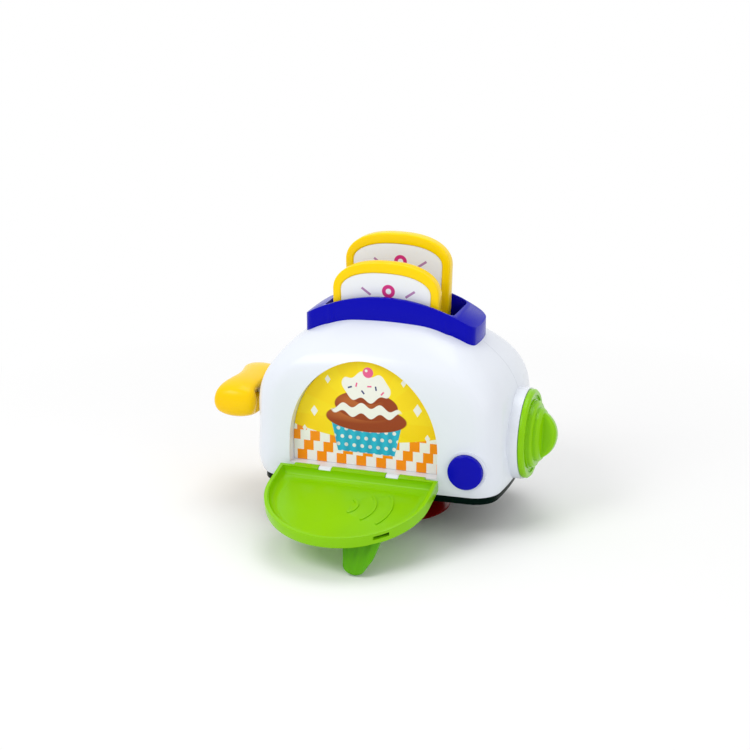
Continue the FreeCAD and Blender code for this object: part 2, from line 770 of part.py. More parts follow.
def make_knob():
    """Saddle-shaped thumb knob, hollow towards the casing."""
    x0 = -body_half_w - 3.0
    x1 = x0 - knob_reach + 2.0
    wires = []
    for t, dz, half_d, lift in ((-1.0, 0.50, 0.72, 1.0), (-0.55, 0.98, 0.98, 2.6), (0.0, 0.90, 1.0, -0.6),
                                (0.55, 0.98, 0.98, 2.6), (1.0, 0.50, 0.72, 1.0)):
        y = t * knob_half_d
        half_x = 0.5 * (x0 - x1) * half_d
        half_z = 0.5 * knob_h * dz
        centre = V(0.5 * (x0 + x1), y, knob_z + lift)
        points = []
        for i in range(12):
            a = 2 * math.pi * i / 12
            c = math.cos(a)
            s = math.sin(a)
            points.append(centre + V(half_x * math.copysign(abs(c) ** 0.75, c), 0,
                                     half_z * math.copysign(abs(s) ** 0.75, s)))
        curve = Part.BSplineCurve()
        curve.interpolate(Points=points, PeriodicFlag=True)
        wires.append(Part.Wire([curve.toShape()]))
    solid = Part.makeLoft(wires, True)
    hollow = box(x0 - knob_hollow, x0 + far, -knob_half_d + knob_end, knob_half_d - knob_end,
                 knob_z - knob_h / 2 + knob_floor, knob_z + knob_h / 2 - knob_roof)
    hollow = hollow.makeFillet(knob_inner_r, hollow.Edges)
    body = solid.cut(hollow)
    half_y = arm_w / 2 + knob_hub_wall
    half_z = arm_h / 2 + knob_hub_wall
    hub = box(x0 - knob_hub_len, x0 - knob_hub_wall, -half_y, half_y, arm_z - half_z, arm_z + half_z)
    body = body.fuse(hub.common(solid))
    half_y = arm_w / 2 + touch
    half_z = arm_h / 2 + touch
    socket = box(-body_half_w - lever_socket - touch, 0, -half_y, half_y, arm_z - half_z, arm_z + half_z)
    return body.cut(socket)


export("lever_knob", make_knob())


def toast_face(inset_side, inset_top, inset_low, y):
    """Bread slice outline in the XZ plane, standing on zero."""
    w = toast_half_w - inset_side
    n = toast_waist - inset_side
    h = toast_h - inset_top
    low = inset_low
    lobe = toast_h - toast_lobe - 0.3 * inset_top
    neck = toast_h - toast_lobe - 8.0
    k = 0.83 * w
    cap = h - 5.6 * w / toast_half_w
    right = [V(n - 1.2, y, low), V(n, y, neck), V(w, y, lobe), V(k, y, cap), V(0, y, h)]
    left = [V(-p.x, p.y, p.z) for p in right]
    edges = [
        Part.makeLine(left[0], right[0]), Part.makeLine(right[0], right[1]),
        Part.Arc(right[1], right[2], right[3]).toShape(),
        Part.Arc(right[3], right[4], left[3]).toShape(),
        Part.Arc(left[3], left[2], left[1]).toShape(),
        Part.makeLine(left[1], left[0]),
    ]
    return Part.Face(Part.Wire(edges))


def make_toast(y_mid, low_z):
    """Crust frame and its two pale faces, in place."""
    half = toast_face(0, 0, 0, 0).extrude(V(0, toast_t / 2, 0))
    half = half.makeFillet(1.3, [e for e in half.Edges if e.CenterOfMass.y > toast_t / 2 - 0.01])
    floor_y = toast_t / 2 - face_t
    half = half.cut(toast_face(crust_side, crust_top, crust_side, floor_y).extrude(V(0, face_t + 1, 0)))
    crust = half.fuse(half.mirror(V(0, 0, 0), AY)).removeSplitter()
    panel = toast_face(crust_side + 0.05, crust_top + 0.05, crust_side + 0.05, floor_y + 0.02)
    panel = panel.extrude(V(0, face_t - 0.42, 0))
    panel = Part.Compound([panel, panel.mirror(V(0, 0, 0), AY)])
    place = V(toast_x, y_mid, low_z)
    crust.translate(place)
    panel.translate(place)
    return crust, panel


for toast_name, toast_at, toast_low in (("toast_front", -toast_y, seat_z), ("toast_back", toast_y, seat_z + seat_step)):
    crust_part, panel_part = make_toast(toast_at, toast_low)
    export(toast_name, crust_part)
    export(toast_name + "_faces", panel_part)

# Guide rods and lift springs
rod_low = base_top - base_h + base_floor + touch
rod_high = rod_top - rod_cap - run_gap
for side, side_name in ((-1, "left"), (1, "right")):
    guide = rod(rod_r - press, V(side * rod_x, 0, rod_low), V(side * rod_x, 0, rod_high))
    export("guide_rod_" + side_name, guide)
    lift = make_spring(spring_r, spring_wire, rod_top - liner_flange_t - seat_z - 2 * spring_gap, spring_turns)
    lift.translate(V(side * rod_x, 0, seat_z + spring_gap))
    export("lift_spring_" + side_name, lift)


def disc(x0, x1, radius, edge):
    """Disc along X with its outer front edge bevelled."""
    body = Part.makeCylinder(radius, x1 - x0, V(x0, 0, 0), AX)
    return body.makeChamfer(edge, [e for e in body.Edges if e.CenterOfMass.x > x1 - 0.01])


def make_dial():
    """Stepped dial along X with a groove and a rounded grip across it."""
    x = dial_back
    ring_x = x + flange_t + ring_t
    face_x = ring_x + cap_t
    body = disc(x, x + flange_t, dial_r, 1.2)
    groove = Part.makeCylinder(dial_r - 3.6, 3, V(x + flange_t - 1.0, 0, 0), AX)
    body = body.cut(groove.cut(Part.makeCylinder(ring_r + 0.8, 9, V(x, 0, 0), AX)))
    body = body.fuse(disc(x + 1, ring_x, ring_r, 1.2))
    body = body.fuse(disc(x + 1, face_x, cap_r, 1.6))
    half = cap_r - 0.8
    grip = box(face_x - 2.5, face_x + grip_h, -half, half, -grip_w / 2, grip_w / 2)
    dome = Part.makeCylinder(half + 0.4, 2 * grip_w, V(face_x + grip_h - half - 0.4, 0, -grip_w), AZ)
    grip = grip.common(dome)
    long_edges = [e for e in grip.Edges if e.CenterOfMass.x > face_x and
                  abs(abs(e.CenterOfMass.z) - grip_w / 2) < 0.2]
    grip = grip.makeFillet(2.6, long_edges)
    grip.rotate(V(0, 0, 0), AX, grip_turn)
    body = body.fuse(grip)
    body = body.cut(rod(shaft_r, V(x - overlap, 0, 0), V(x + shaft_seat, 0, 0)))
    body.translate(V(0, 0, dial_z))
    return body


export("dial", make_dial())
shaft = rod(shaft_r - press, V(wheel_x - overlap, 0, dial_z), V(dial_back + shaft_seat - touch, 0, dial_z))
export("dial_shaft", shaft)


def make_click_wheel():
    """Wheel with rounded teeth on the shaft."""
    wheel = rod(wheel_r, V(wheel_x, 0, 0), V(wheel_x + wheel_t, 0, 0))
    for k in range(wheel_teeth):
        a = 2 * math.pi * (k + 0.5) / wheel_teeth
        y = (wheel_r + 0.6) * math.cos(a)
        z = (wheel_r + 0.6) * math.sin(a)
        wheel = wheel.cut(rod(tooth_depth + 0.6, V(wheel_x - 1, y, z), V(wheel_x + wheel_t + 1, y, z)))
    wheel = wheel.cut(rod(shaft_r, V(wheel_x - 1, 0, 0), V(wheel_x + wheel_t + 1, 0, 0)))
    wheel.translate(V(0, 0, dial_z))
    return wheel


export("click_wheel", make_click_wheel())

# Leaf spring that clicks over the wheel's teeth
leaf_x0 = wheel_x + leaf_inset
leaf_x1 = wheel_x + wheel_t - leaf_inset
leaf = box(leaf_x0, leaf_x1, leaf_y + touch, leaf_y + leaf_t, dial_z - leaf_low, dial_z + leaf_high)
bump = rod(leaf_bump_r, V(leaf_x0, leaf_y, dial_z), V(leaf_x1, leaf_y, dial_z))
bump = bump.common(box(0, far, leaf_y + touch, 0, 0, far))
export("click_spring", leaf.fuse(bump))


def screw(start, direction, length):
    """Pan-head screw whose head seats at start."""
    direction.normalize()
    head = Part.makeCylinder(screw_head_r, screw_head_h, start - direction * screw_head_h, direction)
    shank = Part.makeCylinder(screw_r - press, length, start, direction)
    socket = Part.makeCylinder(screw_drive_r, screw_drive_r, start - direction * screw_head_h, direction)
    return head.fuse(shank).cut(socket)


case_screw_len = screw_seat_y + case_screw_bite - 2 * overlap
case_screws = [screw(V(x, screw_seat_y + touch, z), V(0, -1, 0), case_screw_len) for x, z in case_screw_points]
export("case_screws", Part.Compound(case_screws))
base_low = base_top - base_h
base_screws = []
for sx in (-1, 1):
    for sy in (-1, 1):
        at = V(sx * base_screw_x, sy * base_screw_y, base_low + screw_head_h - touch)
        base_screws.append(screw(at, V(0, 0, 1), spigot_h + base_h + 2 * overlap))
export("base_screws", Part.Compound(base_screws))
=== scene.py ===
"""Looks of a pop-up toy toaster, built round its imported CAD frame.

The carried-over nodes get moulded, drawn and printed finishes. The slices, the thumb knob and
the leg are modelled in place of their nodes, and a soft inner corner is laid in the door's tray.
A pale floor, soft lamps and a camera at the photograph's angle go with them. Lengths are metres.
"""
from __future__ import annotations

import logging
import math
from dataclasses import dataclass
from enum import Enum
from typing import Iterable, Sequence

import bmesh
import bpy
from mathutils import Matrix, Vector


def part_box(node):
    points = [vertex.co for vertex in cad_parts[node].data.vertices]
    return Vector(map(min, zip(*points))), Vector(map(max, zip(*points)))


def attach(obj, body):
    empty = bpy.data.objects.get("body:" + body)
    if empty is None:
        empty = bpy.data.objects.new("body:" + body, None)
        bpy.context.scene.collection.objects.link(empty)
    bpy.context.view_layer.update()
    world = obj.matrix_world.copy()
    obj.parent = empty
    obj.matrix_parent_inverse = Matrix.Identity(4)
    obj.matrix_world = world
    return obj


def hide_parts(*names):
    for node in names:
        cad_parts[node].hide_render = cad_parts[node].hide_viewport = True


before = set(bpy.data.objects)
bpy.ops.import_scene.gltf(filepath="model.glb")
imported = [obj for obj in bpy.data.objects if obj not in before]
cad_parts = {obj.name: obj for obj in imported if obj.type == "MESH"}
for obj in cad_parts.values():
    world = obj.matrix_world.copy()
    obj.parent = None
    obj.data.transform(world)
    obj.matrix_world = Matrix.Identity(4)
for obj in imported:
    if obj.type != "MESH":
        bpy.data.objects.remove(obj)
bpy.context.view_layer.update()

LOG = logging.getLogger("toaster")
Pair = tuple[float, float]
Triple = tuple[float, float, float]
Colour = Triple
QUARTER_TURN = Matrix.Rotation(math.radians(90), 3, "X")


class Signal:
    """A shader socket that takes part in Python arithmetic."""

    def __init__(self, tree: bpy.types.NodeTree, socket: bpy.types.NodeSocket) -> None:
        """Keep the node tree and the output socket."""
        self.tree = tree
        self.socket = socket

    def math(self, operation: str, *others: Signal | float) -> Signal:
        """Add one Math node.

        Args:
            operation: The Math node's operation.
            others: Its operands after this one.

        Returns:
            The node's result.
        """
        node = self.tree.nodes.new("ShaderNodeMath")
        node.operation = operation
        for slot, value in zip(node.inputs, (self, *others)):
            feed(self.tree, slot, value)
        return Signal(self.tree, node.outputs[0])

    def constant(self, value: float) -> Signal:
        """Turn a number into a signal, so that it can be the first operand.

        Args:
            value: The number.

        Returns:
            The number's signal.
        """
        node = self.tree.nodes.new("ShaderNodeValue")
        node.outputs[0].default_value = value
        return Signal(self.tree, node.outputs[0])

    def __add__(self, other: Signal | float) -> Signal:
        """Sum."""
        return self.math("ADD", other)

    __radd__ = __add__

    def __sub__(self, other: Signal | float) -> Signal:
        """Difference."""
        return self.math("SUBTRACT", other)

    def __rsub__(self, other: float) -> Signal:
        """Difference with the number first."""
        return self.constant(other).math("SUBTRACT", self)

    def __mul__(self, other: Signal | float) -> Signal:
        """Product."""
        return self.math("MULTIPLY", other)

    __rmul__ = __mul__

    def __truediv__(self, other: Signal | float) -> Signal:
        """Quotient."""
        return self.math("DIVIDE", other)

    def __pow__(self, other: Signal | float) -> Signal:
        """Power."""
        return self.math("POWER", other)

    def __abs__(self) -> Signal:
        """Size without sign."""
        return self.math("ABSOLUTE")

    def __gt__(self, other: Signal | float) -> Signal:
        """One where this is greater."""
        return self.math("GREATER_THAN", other)

    def inside(self, edge: float) -> Signal:
        """Mask: one where this distance is negative, over a soft edge of the given width."""
        return (0.5 - self / edge).clamp()

    def clamp(self) -> Signal:
        """Limit to zero and one."""
        return self.math("MAXIMUM", 0.0).math("MINIMUM", 1.0)


def feed(tree: bpy.types.NodeTree, slot: bpy.types.NodeSocket, value: object) -> None:
    """Link a signal to an input, or write a plain value there.

    Args:
        tree: The node tree that holds the input.
        slot: The input.
        value: A signal, a number, a vector, or a colour without its alpha.
    """
    if isinstance(value, Signal):
        tree.links.new(value.socket, slot)
    elif slot.type == "RGBA":
        slot.default_value = (*value, 1.0)
    else:
        slot.default_value = value


class Paint:
    """One material's node tree, with a method for each kind of step."""

    def __init__(self, name: str) -> None:
        """Start a material with a bare Principled shader.

        Args:
            name: The material's name.
        """
        self.material = bpy.data.materials.new(name)
        self.material.use_nodes = True
        self.tree = self.material.node_tree
        self.tree.nodes.clear()
        self.shader = self.node("ShaderNodeBsdfPrincipled")
        self.output = self.node("ShaderNodeOutputMaterial")
        self.tree.links.new(self.shader.outputs[0], self.output.inputs["Surface"])
        self.where = self.take(self.node("ShaderNodeTexCoord"), "Object")

    def node(self, kind: str, settings: dict[str, object] | None = None,
             **sockets: object) -> bpy.types.Node:
        """Add any node.

        Args:
            kind: The node's type name.
            settings: Its properties, which are set first.
            sockets: Values or signals by input name, with underscores for spaces.

        Returns:
            The new node.
        """
        made = self.tree.nodes.new(kind)
        for key, value in (settings or {}).items():
            setattr(made, key, value)
        for key, value in sockets.items():
            feed(self.tree, made.inputs[key.replace("_", " ")], value)
        return made

    def take(self, node: bpy.types.Node, output: int | str = 0) -> Signal:
        """One output of a node as a signal."""
        return Signal(self.tree, node.outputs[output])

    def place(self) -> tuple[Signal, Signal, Signal]:
        """Object coordinates.

        Returns:
            The X, Y and Z signals, in metres.
        """
        parts = self.node("ShaderNodeSeparateXYZ", Vector=self.where)
        return self.take(parts, 0), self.take(parts, 1), self.take(parts, 2)

    def noise(self, scale: float, detail: float = 2.0,
              stretch: Triple = (1.0, 1.0, 1.0)) -> Signal:
        """Noise over the object.

        Args:
            scale: Cells per metre.
            detail: Octaves.
            stretch: Scale along each axis.

        Returns:
            The noise, about zero to one.
        """
        turned = self.node("ShaderNodeMapping", Vector=self.where, Scale=stretch)
        made = self.node("ShaderNodeTexNoise", Vector=self.take(turned), Scale=scale, Detail=detail)
        return self.take(made)

    def mix(self, factor: Signal, low: Signal | Colour, high: Signal | Colour) -> Signal:
        """Blend two colours.

        Args:
            factor: Zero gives low and one gives high.
            low: The first colour.
            high: The second colour.

        Returns:
            The blend.
        """
        made = self.node("ShaderNodeMix", {"data_type": "RGBA"})
        for index, value in ((0, factor), (6, low), (7, high)):
            feed(self.tree, made.inputs[index], value)
        return self.take(made, 2)

    def bump(self, height: Signal, distance: float) -> None:
        """Feed the shader's normal from a height."""
        made = self.node("ShaderNodeBump", Height=height, Distance=distance, Strength=1.0)
        self.set(Normal=self.take(made))

    def set(self, **sockets: Signal | float) -> None:
        """Set or feed the shader's own sockets.

        Args:
            sockets: Values or signals by socket name, with underscores for spaces.
        """
        for key, value in sockets.items():
            feed(self.tree, self.shader.inputs[key.replace("_", " ")], value)


@dataclass(frozen=True)
class Moulding:
    """Injection-moulded plastic with a faint flow mottle and handling wear, and, where seam is set,
    a thin line of painted shade along the seam groove.
    """

    name: str
    colour: Colour
    deep: Colour
    roughness: float = 0.24
    clear: float = 0.0
    ior: float = 1.33
    shine: float = 0.3
    coat: float = 0.04
    coat_roughness: float = 0.08
    grain: float = 0.00002
    mottle_cells: float = 14.0
    mottle_contrast: float = 1.6
    mottle_relief: float = 2.0
    mottle_roughness: float = 0.08
    grain_cells: float = 1400.0
    scuff_cells: float = 90.0
    scuff_detail: float = 4.0
    scuff_stretch: Triple = (1.0, 1.0, 6.0)
    scuff_start: float = 0.62
    scuff_gain: float = 6.0
    scuff_roughness: float = 0.05
    # The seam fields draw painted shade: the half width, soft edge, strength and colour of a darker
    # line along the seam groove.
    seam: float = 0.0
    seam_edge: float = 0.0002
    seam_share: float = 0.45
    painted_seam_shade: Colour = (0.3, 0.33, 0.4)

    def make(self) -> bpy.types.Material:
        """Build the material.

        Returns:
            The material.
        """
        paint = Paint(self.name)
        mottle = paint.noise(self.mottle_cells)
        grain = paint.noise(self.grain_cells)
        scuff = paint.noise(self.scuff_cells, self.scuff_detail, self.scuff_stretch)
        depth = ((mottle - 0.5) * self.mottle_contrast + 0.5).clamp()
        shade = paint.mix(depth, self.colour, self.deep)
        worn = ((scuff - self.scuff_start) * self.scuff_gain).clamp()
        # Painted shade: a thin darker line along Y zero stands for the shade in the groove where
        # the shells meet.
        if self.seam:
            across = paint.place()[1]
            line = (abs(across) - self.seam).inside(self.seam_edge) * self.seam_share
            shade = paint.mix(line, shade, self.painted_seam_shade)
        rough = self.roughness + (mottle - 0.5) * self.mottle_roughness
        paint.set(
            Base_Color=shade,
            Roughness=(rough + worn * self.scuff_roughness).clamp(),
            Coat_Weight=self.coat,
            Coat_Roughness=self.coat_roughness,
            IOR=self.ior,
            Specular_IOR_Level=self.shine,
            Transmission_Weight=self.clear,
        )
        paint.bump(grain + mottle * self.mottle_relief, self.grain)
        return paint.material


@dataclass(frozen=True)
class Metal:
    """Drawn or turned steel with fine lines along one axis."""

    name: str
    stretch: Triple
    colour: Colour = (0.6, 0.6, 0.62)
    line_cells: float = 500.0
    line_detail: float = 3.0
    line_shade: float = 0.8
    roughness: float = 0.25
    line_roughness: float = 0.2
    relief: float = 0.00002

    def make(self) -> bpy.types.Material:
        """Build the material.

        Returns:
            The material.
        """
        paint = Paint(self.name)
        line = paint.noise(self.line_cells, self.line_detail, self.stretch)
        dark = tuple(self.line_shade * part for part in self.colour)
        rough = (self.roughness + line * self.line_roughness).clamp()
        paint.set(Base_Color=paint.mix(line, self.colour, dark), Metallic=1.0, Roughness=rough)
        paint.bump(line, self.relief)
        return paint.material


@dataclass(frozen=True)
class Stencil:
    """Masks of printed marks on a flat panel, one inside a mark and zero outside."""

    x: Signal
    z: Signal
    edge: float = 0.0003

    def disc(self, at: Pair, radius: float) -> Signal:
        """Round spot at a centre."""
        return self.oval(at, (radius, radius))

    def oval(self, at: Pair, half: Pair) -> Signal:
        """Ellipse.

        Args:
            at: Centre.
            half: Half axes.

        Returns:
            The mask.
        """
        across = ((self.x - at[0]) / half[0]) ** 2.0
        upwards = ((self.z - at[1]) / half[1]) ** 2.0
        far = (across + upwards) ** 0.5
        return ((far - 1.0) * min(half)).inside(self.edge)

    def bar(self, at: Pair, half: Pair, turn: float) -> Signal:
        """Turned bar with square ends.

        Args:
            at: Centre.
            half: Half length and half width.
            turn: Angle in degrees.

        Returns:
            The mask.
        """
        c = math.cos(math.radians(turn))
        s = math.sin(math.radians(turn))
        along = (self.x - at[0]) * c + (self.z - at[1]) * s
        across = (self.z - at[1]) * c - (self.x - at[0]) * s
        return (abs(along) - half[0]).inside(self.edge) * (abs(across) - half[1]).inside(self.edge)

    def diamond(self, at: Pair, size: float, slim: float) -> Signal:
        """Upright diamond.

        Args:
            at: Centre.
            size: Half height.
            slim: Half height over half width.

        Returns:
            The mask.
        """
        far = abs(self.x - at[0]) * slim + abs(self.z - at[1])
        return (far - size).inside(self.edge)


@dataclass(frozen=True)
class CakePicture:
    """Printed sheet behind the window: an iced cake in a dotted case over a checked cloth.

    Places are X from the panel's middle and Z from its foot.
    """

    name: str = "picture_print"
    node: str = "picture_panel"
    ground: Colour = (0.98, 0.64, 0.0)
    glow: Colour = (1.0, 0.78, 0.015)
    orange: Colour = (1.0, 0.3, 0.005)
    white: Colour = (0.92, 0.9, 0.86)
    brown: Colour = (0.33, 0.055, 0.012)
    crumb: Colour = (0.5, 0.13, 0.03)
    cyan: Colour = (0.03, 0.5, 0.72)
    navy: Colour = (0.01, 0.02, 0.16)
    pink: Colour = (0.85, 0.12, 0.3)
    glow_z: float = 0.036
    glow_fall: float = 1.9
    ray_z: float = 0.03
    ray_count: float = 9.0
    ray_gain: float = 4.0
    ray_share: float = 0.45
    check_cell: float = 0.0065
    check_slip: float = 0.0022
    cloth_top: float = 0.0165
    cloth_sag: float = 3.0
    case_foot: float = 0.0085
    case_top: float = 0.0275
    case_half: float = 0.0185
    case_flare: float = 0.22
    dot_cell: float = 0.0052
    dot_radius: float = 0.0012
    pleat_rate: float = 900.0
    pleat_share: float = 0.25
    domes: tuple[tuple[Pair, Pair], ...] = (
        ((0.0, 0.031), (0.0262, 0.0085)),
        ((0.0, 0.0395), (0.0205, 0.0095)),
        ((0.0, 0.049), (0.0125, 0.0085)),
    )
    lit_aside: Pair = (-0.3, 0.25)
    lit_half: Pair = (0.6, 0.45)
    lit_edge: float = 0.004
    drip_rate: float = 520.0
    drip: float = 0.0016
    icing: tuple[tuple[Pair, Pair], ...] = (
        ((0.0, 0.0515), (0.0158, 0.0086)),
        ((0.0, 0.0362), (0.0225, 0.0034)),
    )
    sprinkle_turns: tuple[float, ...] = (20, 75, 130, 5, 100, 50)
    sprinkle_start: Pair = (-0.0105, 0.0508)
    sprinkle_step: float = 0.0042
    sprinkle_rise: float = 0.0026
    sprinkle_phase: float = 2.3
    sprinkle_half: Pair = (0.0014, 0.0005)
    berry: tuple[Pair, float] = ((0.0012, 0.0612), 0.0034)
    berry_light: tuple[Pair, float] = ((0.0001, 0.0623), 0.0009)
    diamonds: tuple[tuple[Pair, float], ...] = (
        ((-0.034, 0.033), 0.0036), ((0.033, 0.040), 0.0042), ((-0.025, 0.0545), 0.0028),
        ((0.024, 0.0565), 0.0026), ((0.0395, 0.0225), 0.0026), ((-0.0405, 0.021), 0.0022),
    )
    diamond_slim: float = 1.5
    roughness: float = 0.3
    patch_cells: float = 60.0
    patch_roughness: float = 0.1
    shine: float = 0.2
    coat: float = 0.03
    coat_roughness: float = 0.1
    paper_cells: float = 900.0
    paper_relief: float = 0.00001

    def backdrop(self, paint: Paint, marks: Stencil, width: float) -> Signal:
        """Yellow ground that glows behind the cake, with rays.

        Args:
            paint: The material's node tree.
            marks: The panel's stencil.
            width: The panel's width.

        Returns:
            The colour.
        """
        x, z = marks.x, marks.z
        up = z - self.glow_z
        around = ((x * x + up * up) ** 0.5) / width
        tone = paint.mix((1.0 - around * self.glow_fall).clamp(), self.ground, self.glow)
        angle = (z - self.ray_z).math("ARCTAN2", x)
        rays = ((angle * self.ray_count).math("SINE") * self.ray_gain).clamp() * self.ray_share
        return paint.mix(rays, tone, self.glow)

    def cloth(self, paint: Paint, marks: Stencil, tone: Signal) -> Signal:
        """Lay the cloth, whose rows of checks slip sideways.

        Args:
            paint: The material's node tree.
            marks: The panel's stencil.
            tone: The colour under it.

        Returns:
            The colour.
        """
        x, z = marks.x, marks.z
        row = (z / self.check_cell).math("FLOOR")
        column = ((x + row * self.check_slip) / self.check_cell).math("FLOOR")
        check = ((row + column) * 0.5).math("FRACT") > 0.25
        checked = paint.mix(check, self.white, self.orange)
        return paint.mix((z - self.cloth_top - x * x * self.cloth_sag).inside(marks.edge), tone,
                         checked)

    def case(self, paint: Paint, marks: Stencil, tone: Signal) -> Signal:
        """Stand the pleated case with its staggered dots, wider at its top.

        Args:
            paint: The material's node tree.
            marks: The panel's stencil.
            tone: The colour under it.

        Returns:
            The colour.
        """
        x, z, edge = marks.x, marks.z, marks.edge
        flare = (z - self.case_foot) * self.case_flare
        inside = ((abs(x) - self.case_half - flare).inside(edge)
                  * (z - self.case_top).inside(edge) * (self.case_foot - z).inside(edge))
        cell = self.dot_cell
        row = (z / cell).math("FLOOR")
        stagger = (row * 0.5).math("FRACT")
        dot_x = ((x / cell + stagger).math("FRACT") - 0.5) * cell
        dot_z = ((z / cell).math("FRACT") - 0.5) * cell
        dots = Stencil(dot_x, dot_z).disc((0.0, 0.0), self.dot_radius)
        tone = paint.mix(inside, tone, paint.mix(dots, self.cyan, self.white))
        wave = (x * self.pleat_rate).math("SINE") * 0.5 + 0.5
        return paint.mix(wave * self.pleat_share * inside, tone, self.navy)

    def cake(self, paint: Paint, marks: Stencil, tone: Signal) -> Signal:
        """Pile the cake's domes and let the icing run down them.

        Args:
            paint: The material's node tree.
            marks: The panel's stencil.
            tone: The colour under it.

        Returns:
            The colour.
        """
        soft = Stencil(marks.x, marks.z, self.lit_edge)
        for at, half in self.domes:
            lit_at = tuple(at[k] + self.lit_aside[k] * half[k] for k in (0, 1))
            lit = soft.oval(lit_at, tuple(self.lit_half[k] * half[k] for k in (0, 1)))
            tone = paint.mix(marks.oval(at, half), tone, paint.mix(lit, self.brown, self.crumb))
        wave = (marks.x * self.drip_rate).math("SINE") * self.drip
        runny = Stencil(marks.x, marks.z + wave)
        for at, half in self.icing:
            tone = paint.mix(runny.oval(at, half), tone, self.white)
        return tone

    def trimmings(self, paint: Paint, marks: Stencil, tone: Signal) -> Signal:
        """Strew the sprinkles, top the cake with a berry and set the diamonds round it.

        Args:
            paint: The material's node tree.
            marks: The panel's stencil.
            tone: The colour under them.

        Returns:
            The colour.
        """
        start = self.sprinkle_start
        for k, turn in enumerate(self.sprinkle_turns):
            rise = self.sprinkle_rise * math.sin(self.sprinkle_phase * k)
            at = (start[0] + self.sprinkle_step * k, start[1] + rise)
            ink = self.pink if k % 2 else self.navy
            tone = paint.mix(marks.bar(at, self.sprinkle_half, turn), tone, ink)
        tone = paint.mix(marks.disc(*self.berry), tone, self.pink)
        tone = paint.mix(marks.disc(*self.berry_light), tone, self.white)
        for at, size in self.diamonds:
            tone = paint.mix(marks.diamond(at, size, self.diamond_slim), tone, self.white)
        return tone

    def make(self) -> bpy.types.Material:
        """Build the material from the panel's own box.

        Returns:
            The material.
        """
        low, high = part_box(self.node)
        paint = Paint(self.name)
        x, _, z = paint.place()
        marks = Stencil(x - 0.5 * (low.x + high.x), z - low.z)
        tone = self.backdrop(paint, marks, high.x - low.x)
        for layer in (self.cloth, self.case, self.cake, self.trimmings):
            tone = layer(paint, marks, tone)
        patch = (paint.noise(self.patch_cells) - 0.5) * self.patch_roughness
        paint.set(
            Base_Color=tone,
            Roughness=(self.roughness + patch).clamp(),
            Specular_IOR_Level=self.shine,
            Coat_Weight=self.coat,
            Coat_Roughness=self.coat_roughness,
        )
        paint.bump(paint.noise(self.paper_cells), self.paper_relief)
        return paint.material


@dataclass(frozen=True)
class SliceFace:
    """Pale face of a slice with a few printed rings and strokes.

    Places are X from the face's middle and Z down from its top.
    """

    node: str
    cream: Colour = (0.84, 0.86, 0.88)
    warm: Colour = (0.85, 0.78, 0.62)
    magenta: Colour = (0.62, 0.02, 0.2)
    mauve: Colour = (0.42, 0.2, 0.4)
    rim_start: float = 0.004
    rim_width: float = 0.006
    rim_share: float = 0.3
    crumb_cells: float = 320.0
    crumb_detail: float = 3.0
    crumb_start: float = 0.56
    crumb_gain: float = 6.0
    crumb_share: float = 0.16
    rings: tuple[tuple[Pair, float], ...] = (
        ((0.002, 0.0105), 0.0042), ((-0.021, 0.0215), 0.003), ((0.0225, 0.0225), 0.003),
    )
    ring_hole: float = 0.42
    strokes: tuple[tuple[Pair, float], ...] = (
        ((-0.0125, 0.0115), 35), ((0.016, 0.0115), -35), ((-0.008, 0.027), -20),
        ((0.011, 0.027), 20),
    )
    stroke_half: Pair = (0.0036, 0.00075)
    roughness: float = 0.34
    patch_cells: float = 120.0
    patch_roughness: float = 0.1
    shine: float = 0.3
    coat: float = 0.03
    grain_cells: float = 700.0
    grain_detail: float = 3.0
    grain: float = 0.00003

    def make(self) -> bpy.types.Material:
        """Build the material from the face's own box.

        Returns:
            The material.
        """
        low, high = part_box(self.node)
        paint = Paint(self.node + "_print")
        x, _, z = paint.place()
        marks = Stencil(x - 0.5 * (low.x + high.x), high.z - z)
        half_w = 0.5 * (high.x - low.x)
        rim = ((abs(marks.x) - half_w + self.rim_start) / self.rim_width).clamp()
        tone = paint.mix(rim * self.rim_share, self.cream, self.warm)
        crumb = paint.noise(self.crumb_cells, self.crumb_detail) - self.crumb_start
        crumb = (crumb * self.crumb_gain).clamp() * self.crumb_share
        tone = paint.mix(crumb, tone, self.warm)
        for at, radius in self.rings:
            ring = marks.disc(at, radius) - marks.disc(at, radius * self.ring_hole)
            tone = paint.mix(ring.clamp(), tone, self.magenta)
        for at, turn in self.strokes:
            tone = paint.mix(marks.bar(at, self.stroke_half, turn), tone, self.mauve)
        patch = paint.noise(self.patch_cells) * self.patch_roughness
        paint.set(
            Base_Color=tone,
            Roughness=(self.roughness + patch).clamp(),
            Coat_Weight=self.coat,
            Specular_IOR_Level=self.shine,
        )
        paint.bump(paint.noise(self.grain_cells, self.grain_detail), self.grain)
        return paint.material


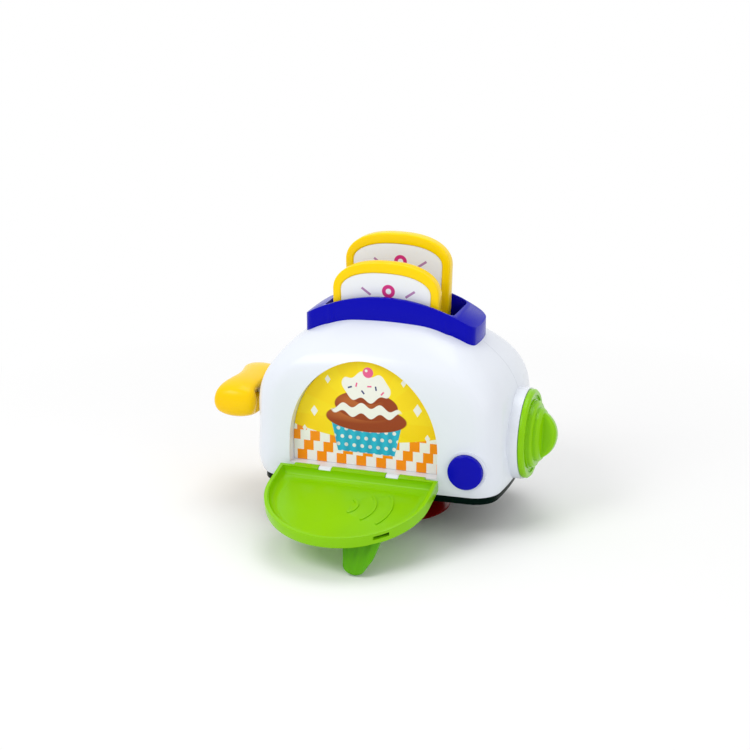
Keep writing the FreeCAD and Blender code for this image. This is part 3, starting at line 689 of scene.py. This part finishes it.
class Plastic(Enum):
    """The toy's plastics, each with its lit colour and its deeper mottle."""

    # The white shells carry a painted shade line along their seam.
    WHITE = Moulding("white_plastic", (0.81, 0.84, 0.9), (0.765, 0.81, 0.885), roughness=0.22,
                     ior=1.45, seam=0.0002)
    BLUE = Moulding("blue_plastic", (0.0, 0.0, 0.47), (0.0, 0.0, 0.4), ior=1.25)
    # The slot liner takes the collar's blue darkened, as painted shade of the deep slots.
    SLOT_SHADE_BLUE = Moulding("blue_slot_shade_plastic", (0.0, 0.0, 0.2), (0.0, 0.0, 0.16), ior=1.2)
    LIME = Moulding("lime_plastic", (0.27, 0.63, 0.0), (0.235, 0.575, 0.0))
    LEAF = Moulding("leaf_plastic", (0.115, 0.42, 0.0), (0.09, 0.36, 0.0))
    YELLOW = Moulding("yellow_plastic", (1.0, 0.73, 0.0), (1.0, 0.64, 0.0))
    KNOB = Moulding("knob_plastic", (1.0, 0.69, 0.0), (0.98, 0.56, 0.0))
    PINE = Moulding("pine_plastic", (0.0, 0.008, 0.005), (0.0, 0.005, 0.003), roughness=0.25,
                    ior=1.25, shine=0.08, coat=0.0)
    RED = Moulding("red_plastic", (0.33, 0.002, 0.002), (0.22, 0.001, 0.001), roughness=0.16,
                   clear=0.35)
    GREY = Moulding("grey_plastic", (0.62, 0.62, 0.6), (0.58, 0.58, 0.56), roughness=0.38)


PLASTIC_NODES: dict[Plastic, tuple[str, ...]] = {
    Plastic.WHITE: ("front_shell", "back_shell"),
    Plastic.BLUE: ("top_collar", "button"),
    Plastic.SLOT_SHADE_BLUE: ("slot_liner",),
    Plastic.LIME: ("door", "dial"),
    Plastic.LEAF: ("door_handle",),
    Plastic.YELLOW: ("toast_front", "toast_back"),
    Plastic.KNOB: ("lever_knob",),
    Plastic.PINE: ("base_tray",),
    Plastic.RED: ("suction_cup",),
    Plastic.GREY: ("carriage", "lever_arm", "cup_retainer", "button_cover", "dial_shaft",
                   "click_wheel", "latch_arm"),
}
STEEL_LINES: dict[str, Triple] = {
    "hinge_pin": (0.05, 1, 1),
    "guide_rod_left": (1, 1, 0.05),
    "guide_rod_right": (1, 1, 0.05),
    "click_spring": (1, 1, 0.1),
    "case_screws": (1, 0.2, 1),
    "base_screws": (1, 1, 0.2),
    "button_spring": (1, 1, 1),
    "lift_spring_left": (1, 1, 1),
    "lift_spring_right": (1, 1, 1),
}
EDGE_ROUNDS: dict[str, float] = {
    "top_collar": 0.0007,
    "door": 0.0004,
    "button": 0.0004,
    "base_tray": 0.0003,
    "dial": 0.0003,
}


def shade_smooth(mesh: bpy.types.Mesh) -> None:
    """Shade every face of a mesh smooth."""
    for face in mesh.polygons:
        face.use_smooth = True


def bevel_edges(piece: bpy.types.Object, width: float, steps: int, degrees: float) -> None:
    """Round a piece's sharp edges.

    Args:
        piece: The piece.
        width: The rounding's width.
        steps: Faces across the rounding.
        degrees: The angle from which an edge counts as sharp.
    """
    edge = piece.modifiers.new("edge", "BEVEL")
    edge.width = width
    edge.segments = steps
    edge.limit_method = "ANGLE"
    edge.angle_limit = math.radians(degrees)


def split_edges(piece: bpy.types.Object, degrees: float) -> None:
    """Keep edges crisp that are sharper than an angle."""
    split = piece.modifiers.new("edges", "EDGE_SPLIT")
    split.split_angle = math.radians(degrees)


@dataclass(frozen=True)
class Dresser:
    """Gives every carried-over node its finish and soft shading."""

    crease: float = 32.0
    weld: float = 2e-6
    shell_weld: float = 5e-5
    round_steps: int = 2

    def smooth(self, piece: bpy.types.Object) -> None:
        """Weld the loose triangles for shading and keep the hard edges.

        Args:
            piece: A carried-over node.
        """
        shade_smooth(piece.data)
        weld = piece.modifiers.new("weld", "WELD")
        weld.merge_threshold = self.shell_weld if piece.name.endswith("_shell") else self.weld
        if piece.name in EDGE_ROUNDS:
            bevel_edges(piece, EDGE_ROUNDS[piece.name], self.round_steps, self.crease)
        split_edges(piece, self.crease)

    def dress(self, name: str, material: bpy.types.Material) -> None:
        """Put a finish on one node.

        Args:
            name: The node.
            material: Its finish.
        """
        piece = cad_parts[name]
        piece.data.materials.clear()
        piece.data.materials.append(material)
        self.smooth(piece)
        LOG.info("dressed %s", name)

    def run(self) -> dict[str, bpy.types.Material]:
        """Dress all nodes.

        Returns:
            The plastics and prints by material name.
        """
        made: dict[str, bpy.types.Material] = {}
        for plastic, names in PLASTIC_NODES.items():
            material = plastic.value.make()
            made[material.name] = material
            for name in names:
                self.dress(name, material)
        for name, stretch in STEEL_LINES.items():
            self.dress(name, Metal(name + "_steel", stretch).make())
        faces = (SliceFace("toast_front_faces"), SliceFace("toast_back_faces"))
        for finish in (CakePicture(), *faces):
            material = finish.make()
            made[material.name] = material
            self.dress(finish.node, material)
        return made


@dataclass(frozen=True)
class Workbench:
    """Turns a finished bmesh into a piece that rides on a body and takes the finish given to it."""

    body: str
    slot: str
    round_steps: int = 4
    round_from: float = 40.0
    crease: float = 50.0

    def place(self, name: str, shape: bmesh.types.BMesh, material: bpy.types.Material,
              node: str = "", round_edge: float = 0.0, levels: int = 0) -> None:
        """Make the piece and tie it to the frame.

        Args:
            name: The piece's name.
            shape: Its mesh, which is freed.
            material: Its finish.
            node: The CAD node that it stands for, if any.
            round_edge: Width of the rounding on its sharp edges.
            levels: Subdivision levels.
        """
        bmesh.ops.recalc_face_normals(shape, faces=shape.faces)
        mesh = bpy.data.meshes.new(name)
        shape.to_mesh(mesh)
        shape.free()
        shade_smooth(mesh)
        piece = bpy.data.objects.new(name, mesh)
        bpy.context.scene.collection.objects.link(piece)
        mesh.materials.append(material)
        if round_edge:
            bevel_edges(piece, round_edge, self.round_steps, self.round_from)
        if levels:
            soft = piece.modifiers.new("soft", "SUBSURF")
            soft.levels = levels
            soft.render_levels = levels
        split_edges(piece, self.crease)
        if node:
            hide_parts(node)
        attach(piece, self.body)
        LOG.info("made %s", name)


@dataclass(frozen=True)
class Arch:
    """Flat face in the XZ plane at Y zero: upright sides under an arch.

    The sides stand from foot to spring, where the arch begins, and may widen from half_foot to
    half_top. Powers below one in fill_across and fill_up make the arch fuller than an ellipse.
    """

    half_top: float
    half_foot: float
    foot: float
    spring: float
    rise: float
    fill_across: float = 1.0
    fill_up: float = 1.0
    segments: int = 128
    flat: float = 1e-4
    weld: float = 1e-6

    def sheet(self) -> bmesh.types.BMesh:
        """Cut a disc in half, draw its straight side down to the foot and size it.

        Returns:
            A mesh of one face.
        """
        shape = bmesh.new()
        bmesh.ops.create_circle(shape, cap_ends=True, radius=1.0, segments=self.segments)
        bmesh.ops.rotate(shape, cent=(0, 0, 0), matrix=QUARTER_TURN, verts=shape.verts)
        bmesh.ops.bisect_plane(shape, geom=[*shape.verts, *shape.edges, *shape.faces],
                               plane_co=(0, 0, 0), plane_no=(0, 0, -1), clear_outer=True,
                               dist=self.weld)
        chord = [e for e in shape.edges if all(abs(v.co.z) < self.flat for v in e.verts)]
        grown = bmesh.ops.extrude_edge_only(shape, edges=chord)["geom"]
        foot = {v for v in grown if isinstance(v, bmesh.types.BMVert)}
        for vert in shape.verts:
            side = math.copysign(1.0, vert.co.x)
            if vert in foot:
                vert.co = Vector((side * self.half_foot, 0.0, self.foot))
            else:
                across = abs(vert.co.x) ** self.fill_across * self.half_top
                up = max(vert.co.z, 0.0) ** self.fill_up * self.rise
                vert.co = Vector((side * across, 0.0, self.spring + up))
        bmesh.ops.dissolve_edges(shape, edges=[e for e in chord if e.is_valid])
        return shape


@dataclass(frozen=True)
class Slice:
    """Toast slice: an arched ring of crust round a pale plate."""

    name: str
    half_top: float = 0.0343
    half_foot: float = 0.0327
    shoulder: float = 0.019
    fill_across: float = 0.84
    fill_up: float = 0.95
    side: float = 0.0052
    top_extra: float = 0.0016
    sink: float = 0.0005
    gap: float = 0.00004
    crust_round: float = 0.0011
    plate_round: float = 0.0002
    segments: int = 96

    def outline(self) -> bmesh.types.BMesh:
        """Flat arched outline that stands in the slice's middle plane.

        Returns:
            A mesh of one face.
        """
        low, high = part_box(self.name)
        middle = 0.5 * (low + high)
        shape = Arch(self.half_top, self.half_foot, low.z, high.z - self.shoulder, self.shoulder,
                     self.fill_across, self.fill_up, self.segments).sheet()
        bmesh.ops.translate(shape, vec=(middle.x, middle.y, 0), verts=shape.verts)
        return shape

    def slab(self, ring: bool, thick: float) -> bmesh.types.BMesh:
        """Crust ring or inner plate as a closed slab.

        Args:
            ring: True for the crust and False for the plate.
            thick: Its thickness.

        Returns:
            The slab.
        """
        shape = self.outline()
        inner = shape.faces[:]
        border = bmesh.ops.inset_individual(shape, faces=inner, use_even_offset=True,
                                            thickness=self.side + (0.0 if ring else self.gap))
        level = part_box(self.name)[1].z - self.shoulder
        for vert in inner[0].verts:
            lift = (vert.co.z - level) / (self.shoulder - self.side)
            vert.co.z -= self.top_extra * max(lift, 0.0)
        spare = inner if ring else border["faces"]
        bmesh.ops.delete(shape, geom=spare, context="FACES")
        grown = bmesh.ops.extrude_face_region(shape, geom=shape.faces[:])["geom"]
        moved = [v for v in grown if isinstance(v, bmesh.types.BMVert)]
        bmesh.ops.translate(shape, vec=(0, thick, 0), verts=moved)
        bmesh.ops.translate(shape, vec=(0, -0.5 * thick, 0), verts=shape.verts)
        return shape

    def build(self, crust: bpy.types.Material, face: bpy.types.Material) -> None:
        """Make the crust and the plate.

        Args:
            crust: The crust's finish.
            face: The plate's finish.
        """
        low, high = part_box(self.name)
        thick = high.y - low.y
        Workbench("carriage", "crust_yellow").place(
            self.name + "_crust", self.slab(True, thick), crust, self.name,
            round_edge=self.crust_round)
        Workbench("carriage", "face_white").place(
            self.name + "_plate", self.slab(False, thick - 2 * self.sink), face,
            self.name + "_faces", round_edge=self.plate_round)


@dataclass(frozen=True)
class TrayCove:
    """Soft inner corner of the door's tray, up to its rim on every side.

    The sizes are those of the tray's inner wall with the door shut over the window, when the
    tray's rim faces the casing; opening is the angle in degrees that the photograph shows.
    """

    centre_x: float = -0.0065
    half_w: float = 0.0483
    foot: float = 0.0411
    straight: float = 0.0173
    arch: float = 0.0493
    rim_y: float = -0.0514
    high: float = 0.00555
    wide: float = 0.0064
    steps: int = 7
    skin: float = 0.0004
    hinge_y: float = -0.0542
    hinge_z: float = 0.0372
    opening: float = 101.8

    def build(self, material: bpy.types.Material) -> None:
        """Make the cove as it lies with the door shut, and swing it open.

        Args:
            material: Its finish.
        """
        shape = Arch(self.half_w, self.half_w, self.foot, self.foot + self.straight,
                     self.arch).sheet()
        bmesh.ops.translate(shape, vec=(self.centre_x, self.rim_y, 0), verts=shape.verts)
        shape.normal_update()
        middle = shape.faces[:]
        way = -1.0 if middle[0].normal.y > 0 else 1.0
        for k in range(self.steps):
            a, b = (0.5 * math.pi * (k + j) / self.steps for j in (0, 1))
            bmesh.ops.inset_individual(shape, faces=middle, use_even_offset=True,
                                       thickness=self.wide * (math.cos(a) - math.cos(b)),
                                       depth=way * self.high * (math.sin(b) - math.sin(a)))
        bmesh.ops.delete(shape, geom=middle, context="FACES")
        front = min(shape.faces, key=lambda face: face.calc_center_median().y)
        if front.normal.y < 0:
            bmesh.ops.reverse_faces(shape, faces=shape.faces)
        bmesh.ops.solidify(shape, geom=shape.faces[:], thickness=self.skin)
        swing = Matrix.Rotation(math.radians(self.opening), 3, "X")
        bmesh.ops.rotate(shape, cent=(0, self.hinge_y, self.hinge_z), matrix=swing,
                         verts=shape.verts)
        Workbench("door", "door_green").place("door_cove", shape, material)


def gridded_block(cuts: Iterable[tuple[int, int]]) -> bmesh.types.BMesh:
    """Block from minus one to one on each axis, with its faces cut into a grid.

    Args:
        cuts: Pairs of an axis and how often it is cut across.

    Returns:
        The block.
    """
    shape = bmesh.new()
    bmesh.ops.create_cube(shape, size=2.0)
    for axis, count in cuts:
        long = [e for e in shape.edges if abs(e.verts[0].co[axis] - e.verts[1].co[axis]) > 1]
        bmesh.ops.subdivide_edges(shape, edges=long, cuts=count, use_grid_fill=True)
    return shape


def drawn_in(share: float, at: float) -> float:
    """Width that falls off like a circle's as at goes from zero to one, by the given share."""
    return math.sqrt(max(1.0 - share * at * at, 0.0))


@dataclass(frozen=True)
class Knob:
    """Thumb knob with two lobes and a hollow towards the casing.

    A block is drawn in along each axis: belly across X and Z, nose at its outer side, lobe_fall
    at both ends of Y, and edge_by_z and edge_by_x where the ends meet the other faces.
    """

    node: str = "lever_knob"
    half_depth: float = 0.0325
    z_mid: float = 0.0664
    half_high: float = 0.0133
    waist_in: float = 0.0055
    waist_low: float = 0.04
    belly: float = 0.3
    nose: float = 0.22
    lobe_fall: float = 0.55
    lobe_power: float = 3.2
    edge_by_z: float = 0.16
    edge_by_x: float = 0.12
    hollow: float = 0.009
    hollow_draft: float = 0.0008
    hollow_reach: float = 0.8
    rim: float = 0.0034
    cuts: tuple[tuple[int, int], ...] = ((1, 11), (0, 3), (2, 3))
    outermost: float = 0.99
    levels: int = 2

    def build(self, material: bpy.types.Material) -> None:
        """Make the knob.

        Args:
            material: Its finish.
        """
        low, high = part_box(self.node)
        half_x = 0.5 * (high.x - low.x)
        shape = gridded_block(self.cuts)
        inner = []
        for face in shape.faces:
            at = face.calc_center_median()
            if (at.x > self.outermost and abs(at.y) < self.hollow_reach
                    and abs(at.z) < self.outermost):
                inner.append(face)
        for vert in shape.verts:
            x, y, z = vert.co
            lobe = math.sqrt(max(1.0 - self.lobe_fall * abs(y) ** self.lobe_power, 0.0))
            waist = math.cos(math.pi * y) * 0.5 + 0.5
            wide = x * drawn_in(self.belly, z) * drawn_in(self.nose * (x < 0), y)
            tall = z * drawn_in(self.belly, x) * lobe
            deep = y * drawn_in(self.edge_by_z, z) * drawn_in(self.edge_by_x, x)
            vert.co = Vector((
                high.x + half_x * (wide - 1.0) + max(-x, 0.0) * waist * self.waist_in,
                self.half_depth * deep,
                self.z_mid + self.half_high * tall * (1.0 - self.waist_low * waist),
            ))
        bmesh.ops.inset_region(shape, faces=inner, thickness=self.rim, use_even_offset=True)
        bmesh.ops.inset_region(shape, faces=inner, thickness=self.hollow_draft,
                               depth=-self.hollow, use_even_offset=True)
        Workbench("carriage", "knob_yellow").place("thumb_knob", shape, material, self.node,
                                                   levels=self.levels)


@dataclass(frozen=True)
class Leg:
    """Fluted tongue under the door, its handle when the door is shut."""

    node: str = "door_handle"
    half_root: float = 0.0122
    half_tip: float = 0.0072
    thick: float = 0.0056
    thin_down: float = 0.12
    lean: float = 0.0085
    lean_power: float = 1.3
    aside: float = -0.0018
    flute: float = 0.0006
    flute_count: float = 3.0
    flute_edge: float = 0.9
    tip_round: float = 0.9
    tip_start: float = 0.4
    clear: float = 0.0001
    cuts: tuple[tuple[int, int], ...] = ((2, 11), (0, 17))
    levels: int = 1

    def build(self, material: bpy.types.Material) -> None:
        """Make the tongue.

        Args:
            material: Its finish.
        """
        low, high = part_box(self.node)
        middle = 0.5 * (low.x + high.x)
        mid_y = high.y - self.clear - 0.5 * self.thick
        height = high.z - low.z
        shape = gridded_block(self.cuts)
        for vert in shape.verts:
            x, y, z = vert.co
            down = 0.5 - 0.5 * z
            half = self.half_root + (self.half_tip - self.half_root) * down
            near_tip = max(down - self.tip_start, 0.0) / (1.0 - self.tip_start)
            lift = self.half_tip * self.tip_round * (1.0 - drawn_in(1.0, x)) * near_tip ** 2
            ridge = self.flute * math.cos(self.flute_count * math.pi * x) * (1.0 - 0.5 * down)
            body = self.thick * (0.5 - self.thin_down * down)
            if abs(x) < self.flute_edge:
                body += ridge
            vert.co = Vector((
                middle + self.aside * down + x * half,
                mid_y - self.lean * down ** self.lean_power + y * body,
                high.z - down * height + lift,
            ))
        Workbench("door", "handle_green").place("door_leg", shape, material, self.node,
                                                levels=self.levels)


@dataclass(frozen=True)
class Lamp:
    """Square soft lamp that points at the toy, with its power in watts."""

    name: str
    place: Triple
    size: float
    power: float
    aim: Triple = (0.0, -0.02, 0.08)

    def light(self) -> None:
        """Put the lamp in the scene."""
        data = bpy.data.lights.new(self.name, "AREA")
        data.size = self.size
        data.energy = self.power
        lamp = bpy.data.objects.new(self.name, data)
        lamp.location = self.place
        towards = Vector(self.aim) - Vector(self.place)
        lamp.rotation_euler = towards.to_track_quat("-Z", "Y").to_euler()
        bpy.context.scene.collection.objects.link(lamp)


@dataclass(frozen=True)
class Studio:
    """Floor, world, lamps and camera."""

    azimuth: float = 18.0
    elevation: float = 18.0
    distance: float = 1.085
    focal_px: float = 1700.0
    frame_px: float = 750.0
    aim_z: float = 0.072
    centre_px: Pair = (395.7, 395.8)
    sensor_mm: float = 36.0
    floor_half: float = 6.0
    pale: Colour = (0.95, 0.95, 0.95)
    floor_shade: float = 0.98
    floor_cells: float = 3.0
    floor_roughness: float = 0.9
    near: float = 0.15
    far: float = 0.42
    world_level: float = 0.64
    lamps: tuple[Lamp, ...] = (
        Lamp("key", (-0.55, -0.75, 0.95), 0.55, 5.0),
        Lamp("fill", (0.9, -0.6, 0.5), 0.7, 1.7),
        Lamp("top", (0.0, 0.25, 1.1), 0.6, 2.9),
    )

    def camera(self) -> None:
        """Set the camera to the photograph's view."""
        a = math.radians(self.azimuth)
        e = math.radians(self.elevation)
        back = Vector((math.sin(a) * math.cos(e), -math.cos(a) * math.cos(e), math.sin(e)))
        right = Vector((math.cos(a), math.sin(a), 0.0))
        up = back.cross(right)
        half = 0.5 * self.frame_px
        side = (self.centre_px[0] - half) * self.distance / self.focal_px
        lift = (half - self.centre_px[1]) * self.distance / self.focal_px
        aim = Vector((0, 0, self.aim_z)) - right * side - up * lift
        data = bpy.data.cameras.new("camera")
        data.sensor_width = self.sensor_mm
        data.lens = self.focal_px * self.sensor_mm / self.frame_px
        lens = bpy.data.objects.new("camera", data)
        turn = Matrix((right, up, back)).transposed().to_4x4()
        lens.matrix_world = Matrix.Translation(aim + back * self.distance) @ turn
        bpy.context.scene.collection.objects.link(lens)
        bpy.context.scene.camera = lens

    @staticmethod
    def seen(tree: bpy.types.NodeTree) -> Signal:
        """Rays that show the background, straight, mirrored or through clear plastic.

        Args:
            tree: A material's or the world's node tree.

        Returns:
            One for such a ray and zero for the rest.
        """
        rays = tree.nodes.new("ShaderNodeLightPath")
        straight, mirrored, through = (
            Signal(tree, rays.outputs[name])
            for name in ("Is Camera Ray", "Is Glossy Ray", "Is Transmission Ray"))
        return (straight + mirrored + through).clamp()

    def floor(self) -> None:
        """Lay a wide pale floor that keeps the toy's shadow and fades to white."""
        shape = bmesh.new()
        bmesh.ops.create_grid(shape, x_segments=1, y_segments=1, size=self.floor_half)
        mesh = bpy.data.meshes.new("floor")
        shape.to_mesh(mesh)
        shape.free()
        ground = bpy.data.objects.new("floor", mesh)
        bpy.context.scene.collection.objects.link(ground)
        paint = Paint("floor_pale")
        shade = tuple(self.floor_shade * part for part in self.pale)
        tone = paint.mix(paint.noise(self.floor_cells), self.pale, shade)
        paint.set(Base_Color=tone, Roughness=self.floor_roughness)
        x, y, _ = paint.place()
        fade = (((x * x + y * y) ** 0.5 - self.near) / (self.far - self.near)).clamp()
        white = paint.node("ShaderNodeEmission", Color=(1.0, 1.0, 1.0), Strength=1.0)
        blend = paint.node("ShaderNodeMixShader", Fac=fade * self.seen(paint.tree))
        for index, shader in ((1, paint.shader), (2, white)):
            paint.tree.links.new(shader.outputs[0], blend.inputs[index])
        paint.tree.links.new(blend.outputs[0], paint.output.inputs["Surface"])
        mesh.materials.append(paint.material)

    def world(self) -> None:
        """Fill light from all round, white behind the toy."""
        world = bpy.data.worlds.new("studio")
        bpy.context.scene.world = world
        world.use_nodes = True
        tree = world.node_tree
        tree.nodes.clear()
        sky = tree.nodes.new("ShaderNodeBackground")
        feed(tree, sky.inputs["Color"], (1.0, 1.0, 1.0))
        level = self.seen(tree) * (1.0 - self.world_level) + self.world_level
        feed(tree, sky.inputs["Strength"], level)
        output = tree.nodes.new("ShaderNodeOutputWorld")
        tree.links.new(sky.outputs[0], output.inputs["Surface"])

    def build(self) -> None:
        """Set up the whole studio."""
        self.floor()
        self.world()
        for lamp in self.lamps:
            lamp.light()
        self.camera()
        bpy.context.scene.view_settings.view_transform = "Standard"
        LOG.info("studio ready")


def main() -> None:
    """Build the studio, dress the toy and add the modelled pieces."""
    logging.basicConfig(level=logging.INFO, format="%(name)s: %(message)s")
    Studio().build()
    made = Dresser().run()
    for name in ("toast_front", "toast_back"):
        Slice(name).build(made["yellow_plastic"], made[name + "_faces_print"])
    TrayCove().build(made["lime_plastic"])
    Knob().build(made["knob_plastic"])
    Leg().build(made["leaf_plastic"])


if __name__ == "__main__":
    main()
